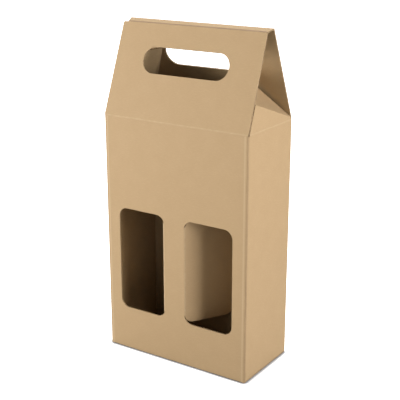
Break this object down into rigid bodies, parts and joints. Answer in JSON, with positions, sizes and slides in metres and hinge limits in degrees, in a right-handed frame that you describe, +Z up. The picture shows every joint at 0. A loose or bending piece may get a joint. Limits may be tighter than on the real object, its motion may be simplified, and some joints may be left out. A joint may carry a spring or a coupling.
{
  "type": "bottle carrier carton",
  "caption": "Upright brown carton for bottles with front windows, folded-in window flaps, side flaps and a leaning handle with a hand slot.",
  "frame": {"origin": "middle of the carton's footprint, on the surface it stands on", "axes": "+Z up; -Y is the front with the windows; +X is to the right seen from the front"},
  "size_m": [0.18, 0.09, 0.3684],
  "materials": {
    "kraft_board": "matte"
  },
  "bodies": {
    "carton": {"carton_body": "kraft_board"},
    "front_handle": {"front_handle_panel": "kraft_board"},
    "back_handle": {"back_handle_panel": "kraft_board"},
    "left_flap": {"left_side_flap": "kraft_board"},
    "right_flap": {"right_side_flap": "kraft_board"},
    "left_divider": {"left_window_flap": "kraft_board"},
    "right_divider": {"right_window_flap": "kraft_board"}
  },
  "joints": [
    {"name": "front_handle_fold", "type": "hinge", "parent": "carton", "child": "front_handle", "pos_m": [0, -0.0442, 0.27], "axis": [1, 0, 0], "range_deg": [0, 110]},
    {"name": "back_handle_fold", "type": "hinge", "parent": "carton", "child": "back_handle", "pos_m": [0, 0.0442, 0.27], "axis": [-1, 0, 0], "range_deg": [0, 112]},
    {"name": "left_flap_fold", "type": "hinge", "parent": "carton", "child": "left_flap", "pos_m": [-0.0892, 0, 0.27], "axis": [0, 1, 0], "range_deg": [-116, 63]},
    {"name": "right_flap_fold", "type": "hinge", "parent": "carton", "child": "right_flap", "pos_m": [0.0892, 0, 0.27], "axis": [0, -1, 0], "range_deg": [-90, 40]},
    {"name": "left_window_fold", "type": "hinge", "parent": "carton", "child": "left_divider", "pos_m": [-0.0136, -0.0442, 0.1095], "axis": [0, 0, -1], "range_deg": [-60, 40]},
    {"name": "right_window_fold", "type": "hinge", "parent": "carton", "child": "right_divider", "pos_m": [0.0136, -0.0442, 0.1095], "axis": [0, 0, 1], "range_deg": [-60, 40]}
  ]
}
